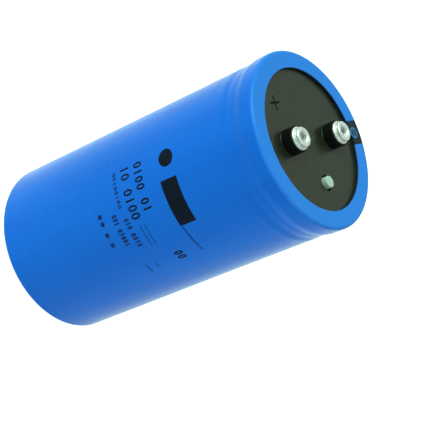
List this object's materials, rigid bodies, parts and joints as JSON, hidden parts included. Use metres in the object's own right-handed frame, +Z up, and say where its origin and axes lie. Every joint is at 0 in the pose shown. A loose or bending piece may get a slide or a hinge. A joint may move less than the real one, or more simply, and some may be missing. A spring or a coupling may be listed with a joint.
{
  "type": "electrolytic capacitor",
  "caption": "Large upright can capacitor in a blue shrunk sleeve, with a recessed dark deck, two tapped screw terminals on bosses and a vent plug.",
  "frame": {"origin": "centre of the base, on the surface it stands on", "axes": "+Z up the can to the terminals, +X from the plus terminal to the minus terminal"},
  "size_m": [0.078, 0.078, 0.152],
  "materials": {
    "sleeve_film": "blue heat-shrunk film, smooth and glossy",
    "base_disc": "punched plastic sheet, matt",
    "can_metal": "impact-drawn, satin",
    "rim_seal": "moulded rubber, matt",
    "deck": "moulded thermoset, satin",
    "terminal": "turned, bright, tool marks round the axis",
    "washer": "stamped, plain",
    "vent_plug": "moulded silicone, satin",
    "winding": "wound foil and absorbent paper",
    "closing_tape": "adhesive film",
    "board": "punched pressboard",
    "anchor_compound": "poured, set compound",
    "tab_foil": "bright rolled foil strip"
  },
  "bodies": {
    "root": {"insulating_sleeve": "sleeve_film", "base_disc": "base_disc", "metal_can": "can_metal", "rim_seal": "rim_seal", "deck": "deck", "terminal_plus": "terminal", "terminal_minus": "terminal", "washer_plus": "washer", "washer_minus": "washer", "vent_plug": "vent_plug", "winding": "winding", "closing_tape_1": "closing_tape", "closing_tape_2": "closing_tape", "floor_pad": "board", "top_board": "board", "anchor_compound": "anchor_compound", "anode_tab_1": "tab_foil", "anode_tab_2": "tab_foil", "anode_tab_3": "tab_foil", "anode_tab_4": "tab_foil", "cathode_tab_1": "tab_foil", "cathode_tab_2": "tab_foil", "cathode_tab_3": "tab_foil", "cathode_tab_4": "tab_foil"}
  },
  "joints": []
}
